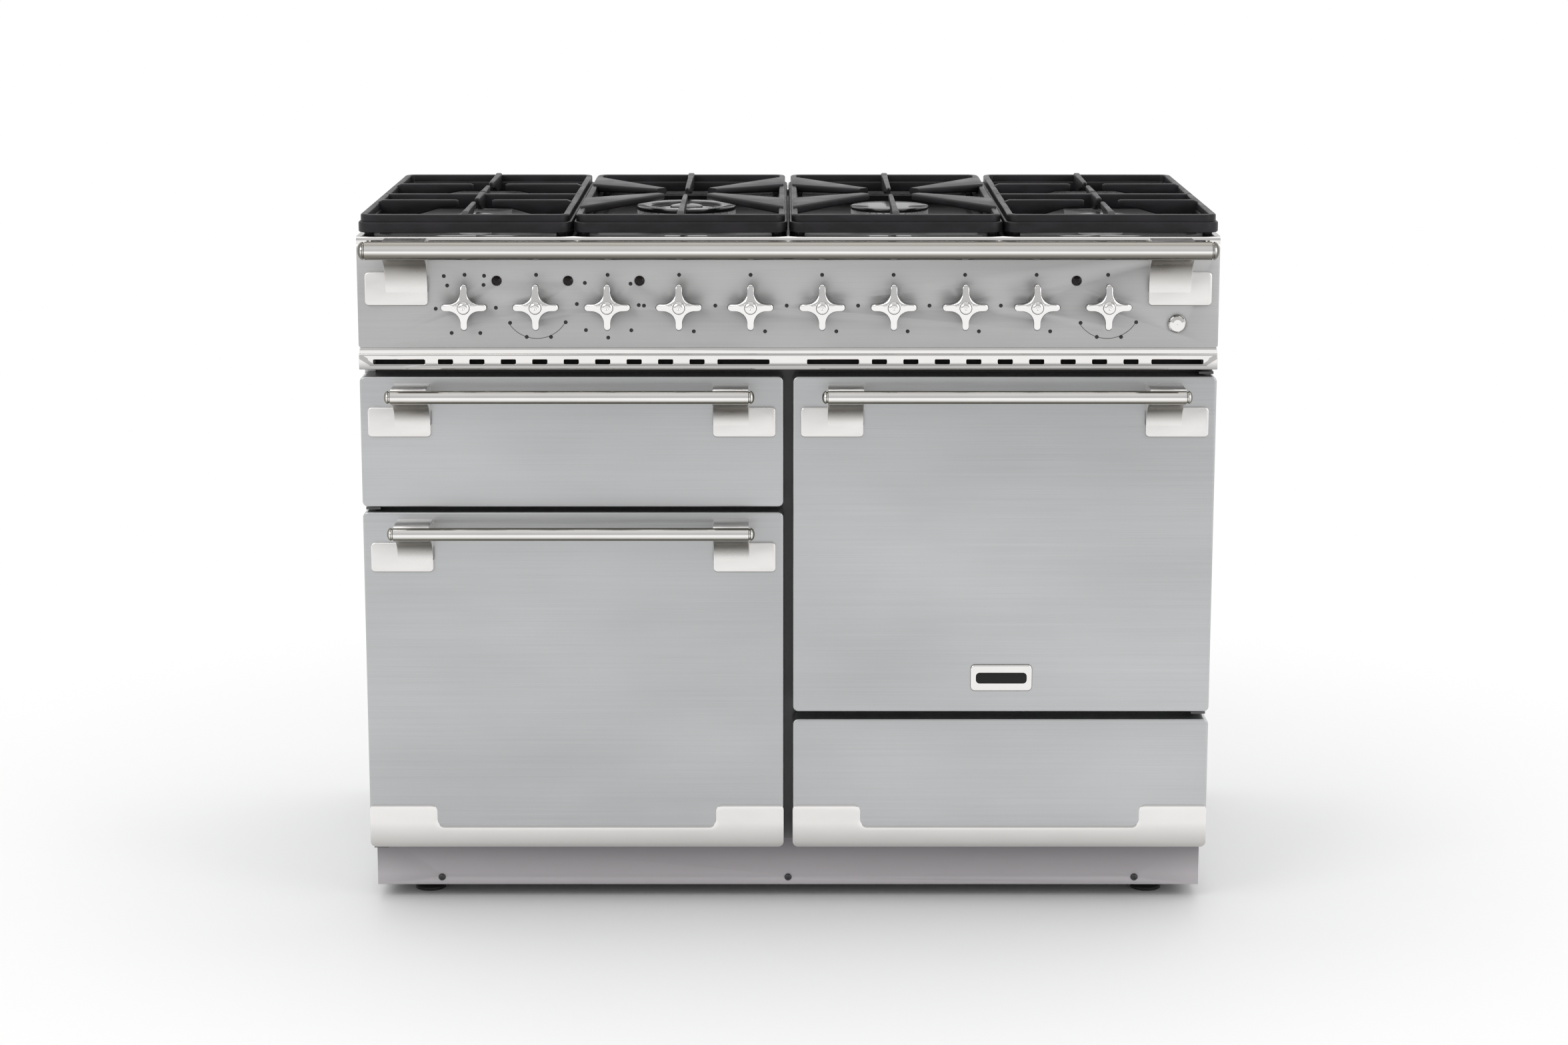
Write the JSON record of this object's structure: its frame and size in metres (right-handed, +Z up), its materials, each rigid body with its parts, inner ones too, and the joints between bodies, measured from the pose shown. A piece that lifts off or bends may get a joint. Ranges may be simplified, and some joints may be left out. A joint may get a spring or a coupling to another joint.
{
  "type": "range cooker",
  "caption": "Wide free-standing range cooker with gas hob, glide-out grill, two side-opening ovens, storage drawer, star-shaped control knobs and a front handrail.",
  "frame": {"origin": "on the floor, under the middle of the whole cooker's box", "axes": "+Z up, -Y out of the fronts, +X to the right seen from the front"},
  "size_m": [1.092, 0.66, 0.918],
  "materials": {
    "chassis_steel": "galvanised steel, dull grey",
    "back_steel": "bare galvanised sheet",
    "brushed_steel": "fine brushed stainless",
    "door_steel": "fine brushed stainless, faintly blue",
    "fascia_steel": "fine brushed stainless",
    "plinth_steel": "fine brushed stainless",
    "polished_chrome": "polished",
    "knob_chrome": "polished",
    "shelf_chrome": "bright wire",
    "cast_iron": "matt black vitreous coating",
    "black_enamel": "gloss vitreous enamel",
    "cap_enamel": "satin vitreous enamel",
    "oven_enamel": "gloss grey-black vitreous enamel with fine specks",
    "pan_enamel": "gloss vitreous enamel",
    "burner_aluminium": "machined",
    "brass_fittings": "bare brass",
    "switch_plastic": "moulded",
    "lamp_lens": "dark red lens",
    "black_nylon": "moulded",
    "carriage_steel": "grey enamel",
    "drawer_steel": "satin black paint",
    "element_steel": "dark sheathed element",
    "fan_steel": "plain steel",
    "seal_rubber": "heat-proof seal"
  },
  "bodies": {
    "cooker": {"chassis": "chassis_steel", "side_panel_left": "brushed_steel", "side_panel_right": "brushed_steel", "back_panel": "back_steel", "hotplate": "black_enamel", "hob_edge": "polished_chrome", "rear_vent": "brushed_steel", "fascia": "fascia_steel", "vent_trim": "polished_chrome", "handrail": "polished_chrome", "plinth": "plinth_steel", "levelling_feet": "black_nylon", "terminal_cover": "black_nylon", "pan_support_1": "cast_iron", "pan_support_2": "cast_iron", "pan_support_3": "cast_iron", "pan_support_4": "cast_iron", "burner_bodies": "burner_aluminium", "burner_caps": "cap_enamel", "gas_rail": "brass_fittings", "oven_switches": "switch_plastic", "indicator_lamps": "lamp_lens", "grill_chamber": "oven_enamel", "heating_elements": "element_steel", "left_oven_liner": "oven_enamel", "left_shelves": "shelf_chrome", "right_oven_liner": "oven_enamel", "right_shelves": "shelf_chrome", "oven_seals": "seal_rubber"},
    "left_door": {"left_door": "door_steel", "left_door_liner": "oven_enamel", "left_handle": "polished_chrome"},
    "right_door": {"right_door": "door_steel", "right_door_liner": "oven_enamel", "right_handle": "polished_chrome"},
    "grill": {"grill_front": "door_steel", "grill_handle": "polished_chrome", "grill_carriage": "carriage_steel", "grill_pan": "pan_enamel"},
    "drawer": {"drawer_front": "door_steel", "drawer_box": "drawer_steel"},
    "left_oven_fan": {"left_fan": "fan_steel"},
    "right_oven_fan": {"right_fan": "fan_steel"},
    "button": {"light_button": "polished_chrome"},
    "tap_1": {"tap_plug_1": "brass_fittings"},
    "gas_knob_1": {"knob_gas_1": "knob_chrome"},
    "tap_2": {"tap_plug_2": "brass_fittings"},
    "gas_knob_2": {"knob_gas_2": "knob_chrome"},
    "tap_3": {"tap_plug_3": "brass_fittings"},
    "gas_knob_3": {"knob_gas_3": "knob_chrome"},
    "tap_4": {"tap_plug_4": "brass_fittings"},
    "gas_knob_4": {"knob_gas_4": "knob_chrome"},
    "tap_5": {"tap_plug_5": "brass_fittings"},
    "gas_knob_5": {"knob_gas_5": "knob_chrome"},
    "tap_6": {"tap_plug_6": "brass_fittings"},
    "gas_knob_6": {"knob_gas_6": "knob_chrome"},
    "grill_knob": {"knob_grill": "knob_chrome"},
    "left_oven_knob": {"knob_left_oven": "knob_chrome"},
    "left_function_knob": {"knob_left_function": "knob_chrome"},
    "right_oven_knob": {"knob_right_oven": "knob_chrome"}
  },
  "joints": [
    {"name": "left_door_hinge", "type": "hinge", "parent": "cooker", "child": "left_door", "pos_m": [-0.534, -0.252, 0.31], "axis": [0, 0, -1], "range_deg": [0, 100]},
    {"name": "right_door_hinge", "type": "hinge", "parent": "cooker", "child": "right_door", "pos_m": [0.534, -0.252, 0.489], "axis": [0, 0, 1], "range_deg": [0, 100]},
    {"name": "grill_slide", "type": "slide", "parent": "cooker", "child": "grill", "axis": [0, -1, 0], "range_m": [0, 0.28]},
    {"name": "drawer_slide", "type": "slide", "parent": "cooker", "child": "drawer", "axis": [0, -1, 0], "range_m": [0, 0.35]},
    {"name": "gas_tap_1_turn", "type": "hinge", "parent": "cooker", "child": "tap_1", "pos_m": [-0.13815, -0.27, 0.8], "axis": [0, -1, 0], "range_deg": [0, 210]},
    {"name": "gas_knob_1_push", "type": "slide", "parent": "tap_1", "child": "gas_knob_1", "axis": [0, 1, 0], "range_m": [0, 0.0045], "stiffness_N_per_m": 1500, "springref_m": -0.001},
    {"name": "gas_tap_2_turn", "type": "hinge", "parent": "cooker", "child": "tap_2", "pos_m": [-0.04765, -0.27, 0.8], "axis": [0, -1, 0], "range_deg": [0, 210]},
    {"name": "gas_knob_2_push", "type": "slide", "parent": "tap_2", "child": "gas_knob_2", "axis": [0, 1, 0], "range_m": [0, 0.0045], "stiffness_N_per_m": 1500, "springref_m": -0.001},
    {"name": "gas_tap_3_turn", "type": "hinge", "parent": "cooker", "child": "tap_3", "pos_m": [0.04285, -0.27, 0.8], "axis": [0, -1, 0], "range_deg": [0, 210]},
    {"name": "gas_knob_3_push", "type": "slide", "parent": "tap_3", "child": "gas_knob_3", "axis": [0, 1, 0], "range_m": [0, 0.0045], "stiffness_N_per_m": 1500, "springref_m": -0.001},
    {"name": "gas_tap_4_turn", "type": "hinge", "parent": "cooker", "child": "tap_4", "pos_m": [0.13335, -0.27, 0.8], "axis": [0, -1, 0], "range_deg": [0, 210]},
    {"name": "gas_knob_4_push", "type": "slide", "parent": "tap_4", "child": "gas_knob_4", "axis": [0, 1, 0], "range_m": [0, 0.0045], "stiffness_N_per_m": 1500, "springref_m": -0.001},
    {"name": "gas_tap_5_turn", "type": "hinge", "parent": "cooker", "child": "tap_5", "pos_m": [0.22385, -0.27, 0.8], "axis": [0, -1, 0], "range_deg": [0, 210]},
    {"name": "gas_knob_5_push", "type": "slide", "parent": "tap_5", "child": "gas_knob_5", "axis": [0, 1, 0], "range_m": [0, 0.0045], "stiffness_N_per_m": 1500, "springref_m": -0.001},
    {"name": "gas_tap_6_turn", "type": "hinge", "parent": "cooker", "child": "tap_6", "pos_m": [0.31435, -0.27, 0.8], "axis": [0, -1, 0], "range_deg": [0, 210]},
    {"name": "gas_knob_6_push", "type": "slide", "parent": "tap_6", "child": "gas_knob_6", "axis": [0, 1, 0], "range_m": [0, 0.0045], "stiffness_N_per_m": 1500, "springref_m": -0.001},
    {"name": "grill_turn", "type": "hinge", "parent": "cooker", "child": "grill_knob", "pos_m": [-0.40965, -0.27, 0.8], "axis": [0, 1, 0], "range_deg": [-150, 150]},
    {"name": "left_oven_turn", "type": "hinge", "parent": "cooker", "child": "left_oven_knob", "pos_m": [-0.31915, -0.27, 0.8], "axis": [0, 1, 0], "range_deg": [0, 270]},
    {"name": "left_function_turn", "type": "hinge", "parent": "cooker", "child": "left_function_knob", "pos_m": [-0.22865, -0.27, 0.8], "axis": [0, 1, 0], "continuous": true},
    {"name": "right_oven_turn", "type": "hinge", "parent": "cooker", "child": "right_oven_knob", "pos_m": [0.40485, -0.27, 0.8], "axis": [0, 1, 0], "range_deg": [0, 270]},
    {"name": "light_button_push", "type": "slide", "parent": "cooker", "child": "button", "axis": [0, 1, 0], "range_m": [0, 0.002], "stiffness_N_per_m": 1200, "springref_m": -0.0005},
    {"name": "left_fan_spin", "type": "hinge", "parent": "cooker", "child": "left_oven_fan", "pos_m": [-0.276, 0.194, 0.31], "axis": [0, 1, 0], "continuous": true},
    {"name": "right_fan_spin", "type": "hinge", "parent": "cooker", "child": "right_oven_fan", "pos_m": [0.276, 0.194, 0.489], "axis": [0, 1, 0], "continuous": true}
  ]
}
